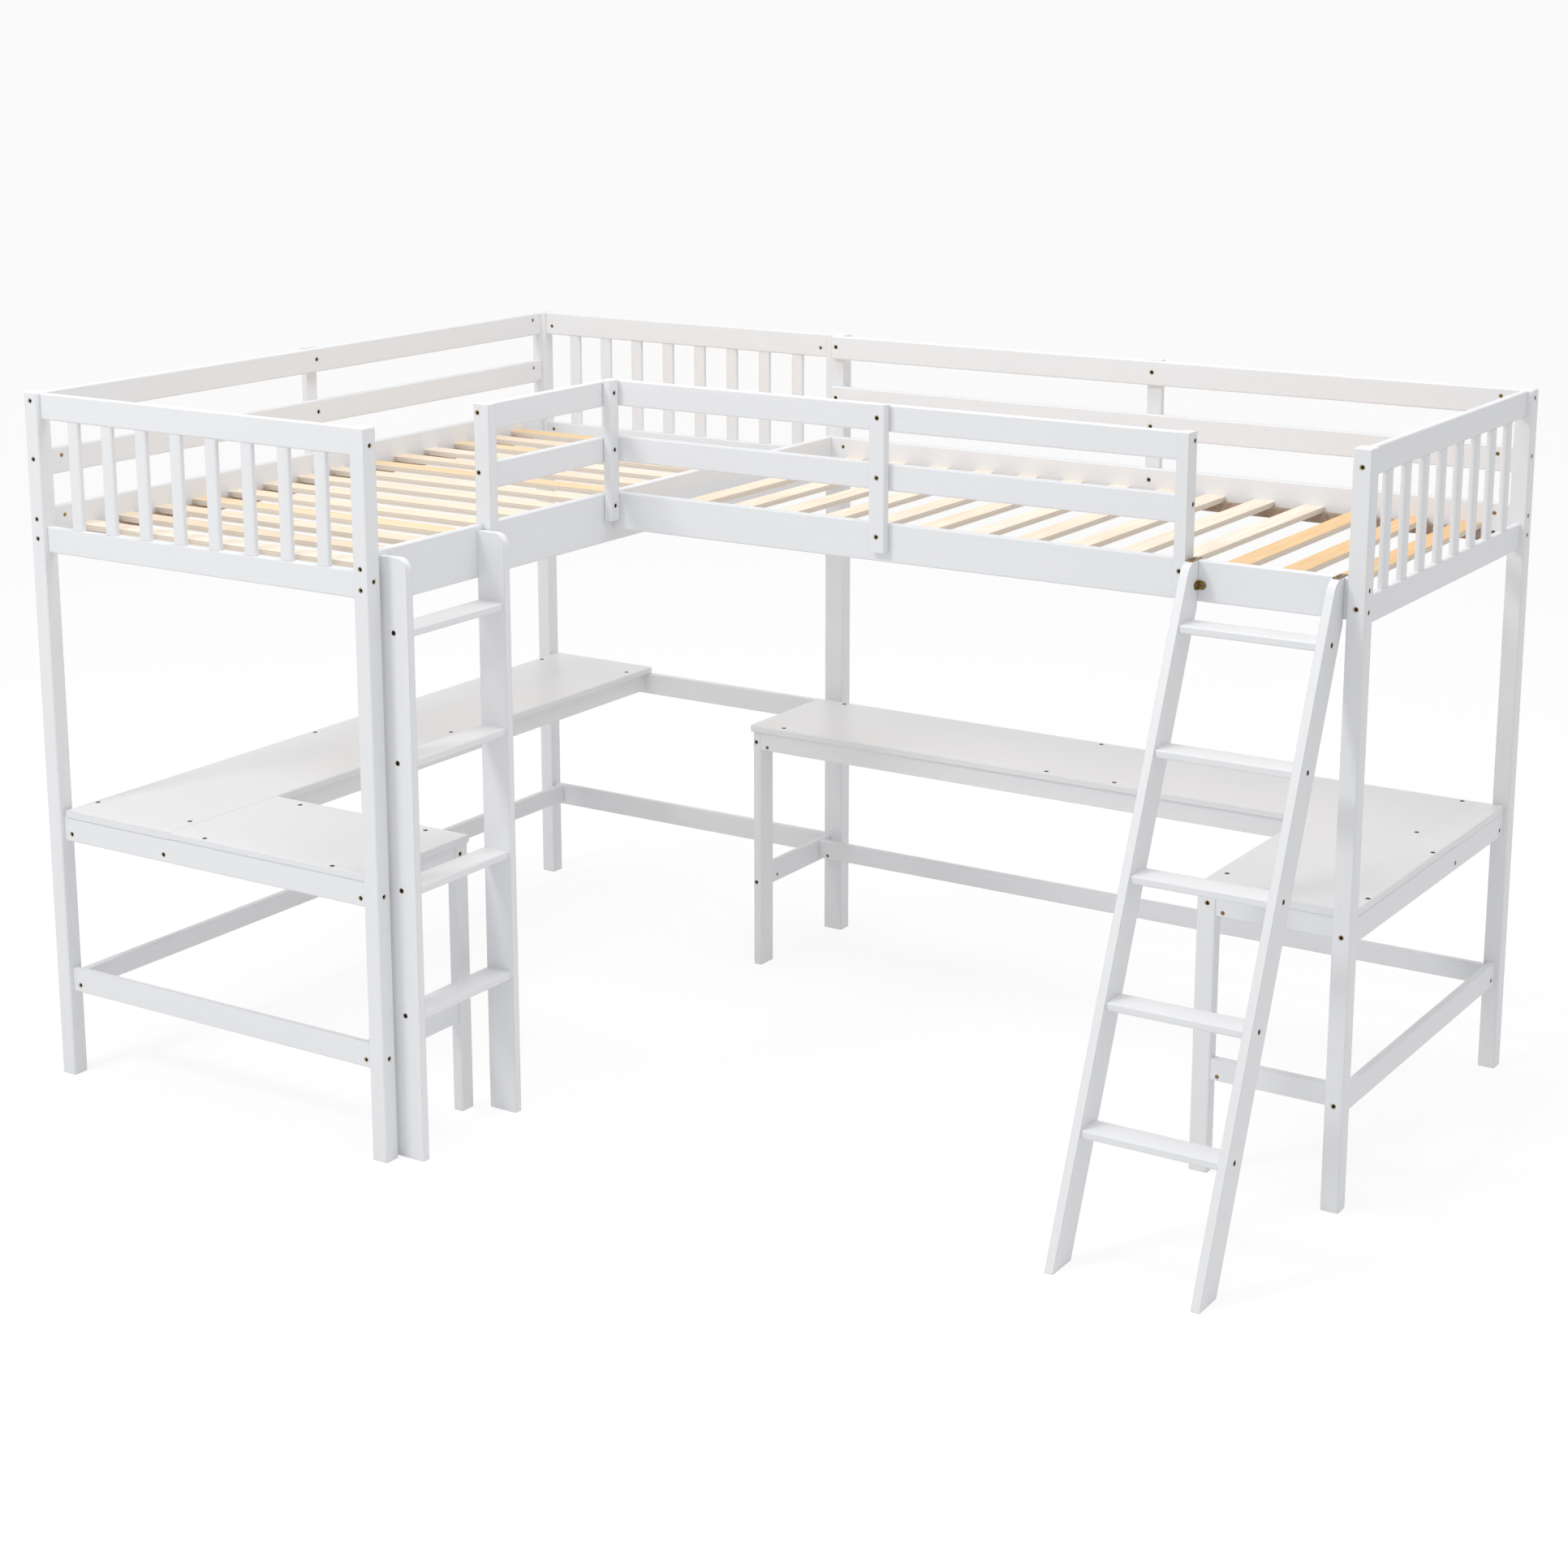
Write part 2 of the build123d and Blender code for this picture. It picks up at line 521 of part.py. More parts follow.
def bolt_desks():
    """Bolts that hold the desks' legs, aprons and stretchers."""
    apron_z, low_z = APRON_BOLT_Z, STRETCHER_BOLT_Z
    left_x, inner_x = middle(LEFT_APRON_X), middle(INNER_APRON_X)
    leg_rail_x, rear_y = middle(LEG_RAIL_X), middle(REAR_APRON_Y)
    reach = PANEL_RAIL + SIDE_NUT
    for x, z in ((left_x, apron_z), (left_x, low_z), (inner_x, apron_z)):
        bolt_to_nut((x, PANEL_INSET, z), BACK, reach, RIGHT, RAIL)
        bolt_to_nut((x, LEFT_LENGTH - PANEL_INSET, z), FRONT, reach, RIGHT, RAIL)
    for z in (apron_z, low_z):
        bolt_to_nut((leg_rail_x, PANEL_INSET, z), BACK, reach, RIGHT, RAIL)
    for y, z in ((middle(FRONT_APRON_Y), apron_z), (middle(BACK_APRON_Y), apron_z),
                 (middle(BACK_APRON_Y), low_z)):
        bolt_to_nut((END_RAIL[1], y, z), LEFT, reach, FRONT, RAIL)
    leg_reach = LEFT_LEG_X[1] - LEFT_LEG_X[0] + PANEL_NUT
    bolt_to_nut((LEFT_LEG_X[1], rear_y, 640), LEFT, leg_reach, FRONT, RAIL)
    bolt_to_nut((INNER_APRON_X[0], rear_y, 640), RIGHT, RAIL + PANEL_NUT, FRONT, RAIL)
    for z in (apron_z, low_z):
        leg_depth = LEFT_LEG_Y[1] - LEFT_LEG_Y[0]
        bolt_to_nut((leg_rail_x, LEFT_LEG_Y[1], z), FRONT, leg_depth + PANEL_NUT, RIGHT, RAIL)
    wall_reach = WALL_LEG_Y[1] - WALL_LEG_Y[0] + 30
    wall_x = middle(WALL_LEG_RAIL_X)
    for z in (632, low_z):
        bolt_to_nut((wall_x, WALL_LEG_Y[0], z), BACK, wall_reach, LEFT, PANEL_RAIL)
    leg_thick = WALL_LEG_X[1] - WALL_LEG_X[0]
    bolt_to_nut((WALL_LEG_X[0], middle(FRONT_APRON_Y), apron_z), RIGHT, leg_thick + 22, BACK, RAIL)
    for z in (apron_z, low_z):
        back_y = middle(BACK_APRON_Y)
        bolt_to_nut((WALL_LEG_RAIL_X[0], back_y, z), RIGHT, PANEL_RAIL + 28, BACK, RAIL)
        return_y = middle(RETURN_FRONT_Y)
        bolt_to_nut((RETURN_LEG_X[0], return_y, z), RIGHT, POST + PANEL_NUT, BACK, RAIL)
    return_reach = RETURN_LEG_Y[1] - RETURN_LEG_Y[0] + PANEL_NUT
    bolt_to_nut((middle(RETURN_APRON_X), RETURN_LEG_Y[0], 640), BACK, return_reach, RIGHT, RAIL)


def screw_boards_and_treads():
    """Screws down through the desk boards, and through the stringers into the treads."""
    node = "wood_screws"
    long_board = ((66, 102), (66, 891), (66, 1084), (66, 1887), (371, 104), (371, 1088), (371, 1891))
    short_board = ((499, 21), (893, 21), (499, 351), (893, 351))
    wall_boards = ((1099, 1603), (1099, 1914), (1892, 1603), (1892, 1914),
                   (2083, 1603), (2083, 1914), (2875, 1603), (2875, 1914))
    return_board = ((2964, 1469), (2629, 1067), (2964, 1067))
    for x, y in long_board + short_board + wall_boards + return_board:
        add(node, screw((x, y, BOARD_Z[1]), DOWN))
    tread_x = INNER_RAIL[1] + VERTICAL_TREAD_DEPTH / 2
    near, far = VERTICAL_LADDER_Y
    for z in VERTICAL_TREADS:
        add(node, screw((tread_x, near, z), BACK), screw((tread_x, far, z), FRONT))


def export():
    """Sets the origin on the floor under the middle and writes one file for each node."""
    os.makedirs("parts", exist_ok=True)
    shift = Pos(-MIDDLE_X, -MIDDLE_Y, 0)
    for node, solids in pieces.items():
        moved = [shift * solid for solid in solids]
        shape = moved[0] if len(moved) == 1 else Compound(children=moved)
        export_step(shape, f"parts/{node}.step")
    print(len(pieces), "nodes,", sum(map(len, pieces.values())), "solids")


make_posts()
make_side_rails()
make_end_panels()
make_uprights()
make_slats()
make_vertical_ladder()
make_left_desk()
make_right_desk()
bolt_bed_corners()
bolt_bed_joint()
bolt_uprights()
bolt_desks()
make_slanted_ladder()
screw_boards_and_treads()
add("connector_bolts", *bolts)
add("barrel_nuts", *nuts)
export()
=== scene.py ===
# %% [markdown]
# # An L-shaped loft bed in white painted pine
#
# Two single beds stand on high posts and meet at a corner. Under each is an
# L-shaped desk. The left bed is reached by an upright ladder, and the right one by
# a slanted ladder that hooks over its rail. The joinery comes from the packed
# model. This script gives it its paint, laminate, bare wood and plated fittings,
# and replaces the plain fasteners with real heads, sockets and slots.

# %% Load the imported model
import bmesh
import bpy
import json
import math
from mathutils import Matrix, Vector

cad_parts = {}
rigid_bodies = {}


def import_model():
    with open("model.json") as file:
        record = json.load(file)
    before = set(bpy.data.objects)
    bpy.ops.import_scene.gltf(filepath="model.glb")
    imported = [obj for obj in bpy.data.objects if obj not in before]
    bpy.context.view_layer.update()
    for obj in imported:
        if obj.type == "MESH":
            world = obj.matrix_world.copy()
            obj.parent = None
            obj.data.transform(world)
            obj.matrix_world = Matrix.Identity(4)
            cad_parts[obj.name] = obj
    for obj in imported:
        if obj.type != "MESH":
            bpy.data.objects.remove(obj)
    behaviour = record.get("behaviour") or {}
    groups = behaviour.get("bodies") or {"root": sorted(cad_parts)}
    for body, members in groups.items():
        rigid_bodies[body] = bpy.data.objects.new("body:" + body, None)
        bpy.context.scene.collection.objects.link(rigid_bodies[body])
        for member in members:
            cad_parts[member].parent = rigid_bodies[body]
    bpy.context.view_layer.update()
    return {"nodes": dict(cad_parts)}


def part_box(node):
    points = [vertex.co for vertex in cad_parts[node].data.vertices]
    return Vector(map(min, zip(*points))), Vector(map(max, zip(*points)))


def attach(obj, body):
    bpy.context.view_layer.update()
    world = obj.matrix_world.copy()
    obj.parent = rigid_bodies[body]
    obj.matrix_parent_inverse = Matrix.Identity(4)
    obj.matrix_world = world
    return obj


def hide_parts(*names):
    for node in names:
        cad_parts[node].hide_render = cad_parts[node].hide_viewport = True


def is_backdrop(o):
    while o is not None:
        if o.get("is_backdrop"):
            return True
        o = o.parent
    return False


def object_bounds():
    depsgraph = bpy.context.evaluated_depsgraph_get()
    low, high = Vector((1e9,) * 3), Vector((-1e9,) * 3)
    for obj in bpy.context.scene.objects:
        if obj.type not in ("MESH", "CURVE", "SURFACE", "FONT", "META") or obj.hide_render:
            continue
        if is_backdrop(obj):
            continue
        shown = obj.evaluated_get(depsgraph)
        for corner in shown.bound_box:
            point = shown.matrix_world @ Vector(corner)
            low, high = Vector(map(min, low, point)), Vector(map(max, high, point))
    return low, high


for leftover in list(bpy.data.objects):
    bpy.data.objects.remove(leftover)
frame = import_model()
MM = 0.001

# %% [markdown]
# ## Colours and nodes
#
# Colours are written as sRGB hex values, the way a colour picker shows them.
# Blender's shaders want linear light, so one function turns them. A second
# function adds a node, sets it and links its inputs, so that each material
# reads as a short list of steps.

# %% Two helpers for every material
def colour(hex_value):
    """An sRGB hex colour as linear red, green, blue and 1."""
    parts = [int(hex_value[i:i + 2], 16) / 255 for i in (1, 3, 5)]
    linear = [p / 12.92 if p <= 0.04045 else ((p + 0.055) / 1.055) ** 2.4 for p in parts]
    return (*linear, 1.0)


def add_node(material, kind, inputs=None, **settings):
    """Adds a shader node, sets it, and gives its inputs a value or a link."""
    node = material.node_tree.nodes.new("ShaderNode" + kind)
    for name, value in settings.items():
        setattr(node, name, value)
    for name, value in (inputs or {}).items():
        if isinstance(value, bpy.types.NodeSocket):
            material.node_tree.links.new(value, node.inputs[name])
        else:
            node.inputs[name].default_value = value
    return node


def new_material(name):
    """An empty material and its surface shader."""
    material = bpy.data.materials.new(name)
    material.use_nodes = True
    return material, material.node_tree.nodes["Principled BSDF"]


def finish_surface(material, surface, links, **values):
    """Links nodes to the surface shader's inputs by name, and gives others plain values."""
    for name, socket in links.items():
        material.node_tree.links.new(socket, surface.inputs[name])
    for name, value in values.items():
        surface.inputs[name].default_value = value
    return material


def ramp(material, factor, *stops):
    """A colour ramp between two stops, each a position and an sRGB hex colour."""
    node = add_node(material, "ValToRGB", {"Fac": factor})
    for element, (position, shade) in zip(node.color_ramp.elements, stops):
        element.position = position
        element.color = colour(shade)
    return node


print("white paint in linear light:", [round(v, 3) for v in colour("#ECECEE")[:3]])

# %% [markdown]
# ## White satin paint on pine
#
# The timber is pine, planed, sanded and sprayed with a white satin paint. The eye
# gets a soft sheen, edges that are rounded by sanding, a very fine ripple from
# the spray, and now and then a long hollow where the softer grain took up more
# paint. The grain runs along each piece, so there is one material for each
# direction. The Bevel node rounds the edges by 2.5 mm in the shading alone,
# which is enough, because the solids have real chamfers of that size.

# %% The paint
PAINT_EDGE = 2.5 * MM
GRAIN_WIDTH = 6 * MM
GRAIN_LENGTH = 250 * MM
SPRAY_RIPPLE = 1.2 * MM
PAINT_RELIEF = 0.02 * MM
LACQUER_IOR = 1.5


def painted_pine(grain):
    """White satin paint over pine whose grain runs along x, y or z."""
    material, surface = new_material("white_satin_paint_" + grain)
    place = add_node(material, "TexCoord")
    stretch = [1 / GRAIN_WIDTH] * 3
    stretch["xyz".index(grain)] = 1 / GRAIN_LENGTH
    along = add_node(material, "Mapping", {"Vector": place.outputs["Object"], "Scale": stretch})
    grain_noise = add_node(material, "TexNoise", {
        "Vector": along.outputs["Vector"], "Scale": 1.0, "Detail": 3.0, "Roughness": 0.5})
    ripple = add_node(material, "TexNoise", {
        "Vector": place.outputs["Object"], "Scale": 1 / SPRAY_RIPPLE, "Detail": 1.0})
    tone = ramp(material, grain_noise.outputs["Fac"], (0.3, "#EBECEF"), (0.7, "#EDEEF0"))
    sheen = add_node(material, "MapRange", {
        "Value": grain_noise.outputs["Fac"], "To Min": 0.38, "To Max": 0.44})
    edge = add_node(material, "Bevel", {"Radius": PAINT_EDGE}, samples=6)
    hollow = add_node(material, "Bump", {
        "Height": grain_noise.outputs["Fac"], "Distance": PAINT_RELIEF, "Strength": 0.08,
        "Normal": edge.outputs["Normal"]})
    relief = add_node(material, "Bump", {
        "Height": ripple.outputs["Fac"], "Distance": PAINT_RELIEF, "Strength": 0.5,
        "Normal": hollow.outputs["Normal"]})
    return finish_surface(material, surface, {
        "Base Color": tone.outputs["Color"], "Roughness": sheen.outputs["Result"],
        "Normal": relief.outputs["Normal"]}, IOR=LACQUER_IOR)


paint = {grain: painted_pine(grain) for grain in "xyz"}
print("paints:", [material.name for material in paint.values()])

# %% [markdown]
# ## White laminated board
#
# The desk tops are chipboard with a white melamine face, pressed in a smooth
# mould. It is flatter and a little glossier than the painted pine, without any
# grain. A faint pebble of about 0.8 mm is what keeps real melamine from
# looking like glass.

# %% The laminate
PEBBLE = 0.8 * MM
PEBBLE_RELIEF = 0.015 * MM
CLOUDS_PER_METRE = 3.0
BOARD_EDGE = 0.8 * MM


def laminated_board():
    """White melamine on chipboard, with softened edges."""
    material, surface = new_material("white_melamine")
    place = add_node(material, "TexCoord")
    pebble = add_node(material, "TexNoise", {
        "Vector": place.outputs["Object"], "Scale": 1 / PEBBLE, "Detail": 1.0})
    cloud = add_node(material, "TexNoise", {
        "Vector": place.outputs["Object"], "Scale": CLOUDS_PER_METRE, "Detail": 2.0})
    tone = ramp(material, cloud.outputs["Fac"], (0.0, "#E6E7EA"), (1.0, "#EBECEE"))
    edge = add_node(material, "Bevel", {"Radius": BOARD_EDGE}, samples=6)
    relief = add_node(material, "Bump", {
        "Height": pebble.outputs["Fac"], "Distance": PEBBLE_RELIEF, "Strength": 0.5,
        "Normal": edge.outputs["Normal"]})
    return finish_surface(material, surface, {
        "Base Color": tone.outputs["Color"], "Normal": relief.outputs["Normal"]},
        Roughness=0.32, IOR=LACQUER_IOR)


melamine = laminated_board()
print("laminate:", melamine.name)

# %% [markdown]
# ## Bare slats
#
# The slats are laminated from thin veneers and left bare. Most are cream, a few
# are straw or honey, and each has its own tone. Their long edges are greyer,
# because they show the end of each veneer and of its glue line. The slats are
# separate islands of one mesh, so Random Per Island gives each one a tone of its
# own. The height of the glue lines comes from where a point is between the faces.

# %% The slat wood
VENEER = 2.8 * MM
FIBRE_WIDTH = 5 * MM
FIBRE_LENGTH = 180 * MM
FIBRE_RELIEF = 0.15 * MM
APART = 9.0
SLAT_EDGE = 1 * MM
SLAT_BOTTOM, SLAT_TOP = (corner.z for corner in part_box("left_bed_slats"))


def slat_wood(name, grain, pale, deep):
    """Bare laminated slats whose grain runs along x or y, each between two tones."""
    material, surface = new_material(name)
    place = add_node(material, "TexCoord")
    shape = add_node(material, "NewGeometry")
    island = shape.outputs["Random Per Island"]
    shift = add_node(material, "CombineXYZ", {"Z": island})
    far = add_node(material, "VectorMath", {
        0: shift.outputs["Vector"], "Scale": APART}, operation="SCALE")
    apart = add_node(material, "VectorMath", {
        0: place.outputs["Object"], 1: far.outputs["Vector"]}, operation="ADD")
    stretch = [1 / FIBRE_WIDTH] * 3
    stretch["xyz".index(grain)] = 1 / FIBRE_LENGTH
    along = add_node(material, "Mapping", {"Vector": apart.outputs["Vector"], "Scale": stretch})
    fibre = add_node(material, "TexNoise", {
        "Vector": along.outputs["Vector"], "Scale": 1.0, "Detail": 5.0, "Roughness": 0.6,
        "Distortion": 0.4})
    tone = ramp(material, island, (0.0, pale), (1.0, deep))
    streak = ramp(material, fibre.outputs["Fac"], (0.35, "#EBD5B5"), (0.62, "#FFFFFF"))
    face = add_node(material, "Mix", {
        0: 0.5, 6: tone.outputs["Color"], 7: streak.outputs["Color"]},
        data_type="RGBA", blend_type="MULTIPLY")
    height = add_node(material, "SeparateXYZ", {"Vector": place.outputs["Object"]})
    layer = add_node(material, "MapRange", {
        "Value": height.outputs["Z"], "From Min": SLAT_BOTTOM, "From Max": SLAT_BOTTOM + VENEER},
        clamp=False)
    glue = add_node(material, "Math", {0: layer.outputs["Result"], 1: 1.0}, operation="PINGPONG")
    side = ramp(material, glue.outputs["Value"], (0.05, "#BDAE9E"), (0.22, "#E8DCCE"))
    facing = add_node(material, "SeparateXYZ", {"Vector": shape.outputs["Normal"]})
    flat = add_node(material, "Math", {0: facing.outputs["Z"]}, operation="ABSOLUTE")
    both = add_node(material, "Mix", {
        0: flat.outputs["Value"], 6: side.outputs["Color"], 7: face.outputs[2]},
        data_type="RGBA")
    edge = add_node(material, "Bevel", {"Radius": SLAT_EDGE}, samples=4)
    relief = add_node(material, "Bump", {
        "Height": fibre.outputs["Fac"], "Distance": FIBRE_RELIEF, "Strength": 0.6,
        "Normal": edge.outputs["Normal"]})
    return finish_surface(material, surface, {
        "Base Color": both.outputs[2], "Normal": relief.outputs["Normal"]},
        Roughness=0.62, IOR=LACQUER_IOR)


cream_x = slat_wood("cream_slat_x", "x", "#FBF2E6", "#F8E8D0")
straw_x = slat_wood("straw_slat_x", "x", "#F8E4C4", "#F3D8AC")
cream_y = slat_wood("cream_slat_y", "y", "#FBF1E4", "#F8E6CE")
honey_y = slat_wood("honey_slat_y", "y", "#F5D3A3", "#EDC490")
print("slats:", cream_x.name, straw_x.name, cream_y.name, honey_y.name)

# %% [markdown]
# ## Sawn cleats
#
# The cleats under the slats' ends are sawn softwood, left rough. Their brown tone
# is painted shade, for the shadow that the slats cast on them. The saw has left a
# coarse relief of about 3 mm.

# %% The cleat wood
FUZZ = 12 * MM
SAW_MARKS = 3 * MM
SAW_RELIEF = 0.3 * MM


def painted_shade_sawn_wood():
    """Rough sawn softwood, its brown tone painted shade from the slats above."""
    material, surface = new_material("painted_shade_cleat")
    place = add_node(material, "TexCoord")
    rough = add_node(material, "TexNoise", {
        "Vector": place.outputs["Object"], "Scale": 1 / FUZZ, "Detail": 6.0, "Roughness": 0.7})
    # The brown tones are painted shade, for the shadow that the slats cast on the cleats.
    tone = ramp(material, rough.outputs["Fac"], (0.3, "#8A7464"), (0.7, "#B39C88"))
    saw = add_node(material, "TexNoise", {
        "Vector": place.outputs["Object"], "Scale": 1 / SAW_MARKS, "Detail": 2.0})
    relief = add_node(material, "Bump", {
        "Height": saw.outputs["Fac"], "Distance": SAW_RELIEF, "Strength": 0.8})
    return finish_surface(material, surface, {
        "Base Color": tone.outputs["Color"], "Normal": relief.outputs["Normal"]}, Roughness=0.85)


cleat = painted_shade_sawn_wood()
print("cleats:", cleat.name)

# %% [markdown]
# ## Plated steel
#
# The bolts, cross nuts, hooks and brackets are steel with a yellow zinc plating,
# which looks like dull brass. The screws have a darker plating. The insides of the
# sockets, slots and cross recesses are nearly black, which is painted shade for the
# dark in these hollows. All have fine scratches from tumbling in their box, about
# half a millimetre apart.

# %% The plating
SCRATCH = 0.5 * MM
SCRATCH_RELIEF = 0.02 * MM
STAIN = 8 * MM
GLOSS_SPREAD = 0.06
METAL_EDGE = 0.5 * MM


def plated_steel(name, dark, light, roughness):
    """Plated steel between two tones, finely scratched."""
    material, surface = new_material(name)
    place = add_node(material, "TexCoord")
    scratch = add_node(material, "TexNoise", {
        "Vector": place.outputs["Object"], "Scale": 1 / SCRATCH, "Detail": 3.0})
    cloud = add_node(material, "TexNoise", {
        "Vector": place.outputs["Object"], "Scale": 1 / STAIN, "Detail": 2.0})
    tone = ramp(material, cloud.outputs["Fac"], (0.35, dark), (0.65, light))
    gloss = add_node(material, "MapRange", {
        "Value": scratch.outputs["Fac"], "To Min": roughness - GLOSS_SPREAD,
        "To Max": roughness + GLOSS_SPREAD})
    edge = add_node(material, "Bevel", {"Radius": METAL_EDGE}, samples=4)
    relief = add_node(material, "Bump", {
        "Height": scratch.outputs["Fac"], "Distance": SCRATCH_RELIEF, "Strength": 0.4,
        "Normal": edge.outputs["Normal"]})
    return finish_surface(material, surface, {
        "Base Color": tone.outputs["Color"], "Roughness": gloss.outputs["Result"],
        "Normal": relief.outputs["Normal"]}, Metallic=1.0)


zinc = plated_steel("yellow_zinc_plating", "#6F5C3A", "#A58D5E", 0.35)
bronze = plated_steel("dark_zinc_plating", "#33271E", "#54412F", 0.42)
# Nearly black steel for the insides of sockets, slots and cross recesses: painted shade.
black = plated_steel("painted_shade_socket", "#14100D", "#241D17", 0.6)
print("plating:", zinc.name, bronze.name, black.name)

# %% [markdown]
# ## Which finish goes on which piece
#
# A painted piece takes the paint whose grain runs along it. Its direction is the one
# that its first solid is longest in, which is worked out from the mesh: each solid is
# an island of joined corners.

# %% Islands of a mesh
WELD = 0.005 * MM


def islands(node):
    """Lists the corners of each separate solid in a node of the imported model."""
    mesh = bmesh.new()
    mesh.from_mesh(frame["nodes"][node].data)
    bmesh.ops.remove_doubles(mesh, verts=mesh.verts, dist=WELD)
    found, seen = [], set()
    for start in mesh.verts:
        if start in seen:
            continue
        group, edge = [], [start]
        seen.add(start)
        while edge:
            corner = edge.pop()
            group.append(corner.co.copy())
            for link in corner.link_edges:
                other = link.other_vert(corner)
                if other not in seen:
                    seen.add(other)
                    edge.append(other)
        found.append(group)
    mesh.free()
    return found


def limits(corners):
    """The lowest and highest corner of a group of points."""
    low = Vector([min(corner[axis] for corner in corners) for axis in range(3)])
    high = Vector([max(corner[axis] for corner in corners) for axis in range(3)])
    return low, high


def longest_axis(corners):
    """The direction that a solid is longest in, as 0, 1 or 2."""
    low, high = limits(corners)
    size = high - low
    return max(range(3), key=lambda axis: size[axis])


print("slats in the left bed:", len(islands("left_bed_slats")))

# %% Dress the nodes
BOARDS = ("left_desk_long_board", "left_desk_short_board", "right_desk_left_board",
          "right_desk_right_board", "right_desk_return_board")
METAL = {"slanted_ladder_hooks": zinc, "slanted_ladder_brackets": zinc, "connector_bolts": zinc,
         "barrel_nuts": zinc, "wood_screws": bronze, "slanted_ladder_screws": bronze}
WOOD = {"left_bed_slats": cream_x, "right_bed_slats": cream_y, "slat_cleats": cleat}


def finish_for(node):
    """The material of a node's real piece."""
    if node in BOARDS:
        return melamine
    if node in METAL:
        return METAL[node]
    if node in WOOD:
        return WOOD[node]
    return paint["xyz"[longest_axis(islands(node)[0])]]


for name, piece in frame["nodes"].items():
    finish = finish_for(name)
    piece.data.materials.clear()
    piece.data.materials.append(finish)
print("dressed", len(frame["nodes"]), "nodes")

# %% [markdown]
# ## Fasteners
#
# The model's bolts, nuts and screws are six-sided pins in the right places. The
# real ones have round heads with sockets. Each is built along +Z with the wood's
# face at the origin, as long as its pin, and put in its place. The pin's long
# side gives its direction, and the end with the wider corners is its head.

# %% Where the pins are
def seat(corners):
    """A matrix that takes +Z out of the wood along a pin, and the pin's length."""
    low, high = limits(corners)
    axis = longest_axis(corners)
    middle = (low + high) / 2
    spread = {}
    for end in (low[axis], high[axis]):
        near = [c for c in corners if abs(c[axis] - end) < 0.1 * MM]
        spread[end] = max((Vector(c) - middle - (Vector(c) - middle).project(
            Vector([float(k == axis) for k in range(3)]))).length for c in near)
    head = max(spread, key=spread.get)
    out = Vector((0, 0, 0))
    out[axis] = 1 if head == high[axis] else -1
    face = middle.copy()
    face[axis] = head
    turn = out.to_track_quat("Z", "Y").to_matrix().to_4x4()
    return Matrix.Translation(face) @ turn, high[axis] - low[axis]


# %% Rings of points make a turned shape
AROUND = 24
JOIN = 0.001 * MM


def turned(mesh, rings, slot=0):
    """Joins rings of points with faces. Returns the rings' corners."""
    made = [[mesh.verts.new(point) for point in ring] for ring in rings]
    for one, two in zip(made, made[1:]):
        for k in range(len(one)):
            after = (k + 1) % len(one)
            mesh.faces.new((one[k], one[after], two[after], two[k])).material_index = slot
    return made


def circle(radius, z):
    """Points round a circle at a height."""
    angles = [math.tau * k / AROUND for k in range(AROUND)]
    return [(radius * math.cos(angle), radius * math.sin(angle), z) for angle in angles]


def hexagon(across, z):
    """Points round a hexagon, as many as a circle has, so that the two can be joined."""
    points = []
    for k in range(AROUND):
        angle = math.tau * k / AROUND
        bend = (angle + math.pi / 6) % (math.pi / 3) - math.pi / 6
        radius = across / 2 / math.cos(bend)
        points.append((radius * math.cos(angle), radius * math.sin(angle), z))
    return points


def pit_in(mesh, rings):
    """Lines a hole with nearly black faces, painted shade for the hole's dark, and closes its
    bottom, then joins it to the head.
    """
    made = turned(mesh, rings, 1)
    mesh.faces.new(made[-1]).material_index = 1
    bmesh.ops.remove_doubles(mesh, verts=mesh.verts, dist=JOIN)
    bmesh.ops.recalc_face_normals(mesh, faces=mesh.faces)


print("a turned shape has", AROUND, "sides")

# %% A connector bolt
HOLE_RADIUS = 6.3 * MM
HEAD_RADIUS = 6.1 * MM
HEAD_EASE = 0.3 * MM
HEAD_BOTTOM = 4.8 * MM
COLLAR_RADIUS = 7.3 * MM
COLLAR_FOOT = 0.1 * MM
COLLAR_LIP = 0.5 * MM
FLUSH = 0.04 * MM
SUNK = 1.2 * MM
SOCKET = 6 * MM
SOCKET_DEEP = 2.6 * MM
SOCKET_EASE = 0.2 * MM
SHANK_RADIUS = 2.5 * MM
TIP = 1 * MM


def bolt_mesh(length):
    """A round head sunk in its hole, with a hexagon socket, and a plain shank.

    The paint is pushed up round the hole to a pale collar, which is part of the piece.
    """
    mesh = bmesh.new()
    turned(mesh, [circle(COLLAR_RADIUS, -COLLAR_FOOT), circle(COLLAR_RADIUS, FLUSH),
                  circle(HOLE_RADIUS, FLUSH), circle(HEAD_RADIUS, -COLLAR_LIP),
                  circle(HEAD_RADIUS, -SUNK)], 2)
    mouth = hexagon(SOCKET, -SUNK - SOCKET_EASE)
    made = turned(mesh, [
        circle(0.6 * SHANK_RADIUS, -length), circle(SHANK_RADIUS, -length + TIP),
        circle(SHANK_RADIUS, -HEAD_BOTTOM - 0.1 * MM), circle(HEAD_RADIUS, -HEAD_BOTTOM),
        circle(HEAD_RADIUS, -SUNK - HEAD_EASE), circle(HEAD_RADIUS - 0.4 * MM, -SUNK),
        circle(0.64 * SOCKET, -SUNK), mouth])
    mesh.faces.new(list(reversed(made[0])))
    bottom = -SUNK - SOCKET_DEEP
    pit_in(mesh, [mouth, hexagon(0.97 * SOCKET, bottom), circle(0.3 * MM, bottom - 0.4 * MM)])
    return mesh


print("bolt heads are", round(2 * HEAD_RADIUS / MM, 1), "mm wide")

# %% A cross nut and a wood screw
ON_FACE = 0.01 * MM
NUT_RADIUS = 5 * MM
NUT_EASE = 0.3 * MM
SLOT_HALF_LENGTH = 3.6 * MM
SLOT_HALF_WIDTH = 0.6 * MM
SLOT_DEEP = 1.5 * MM


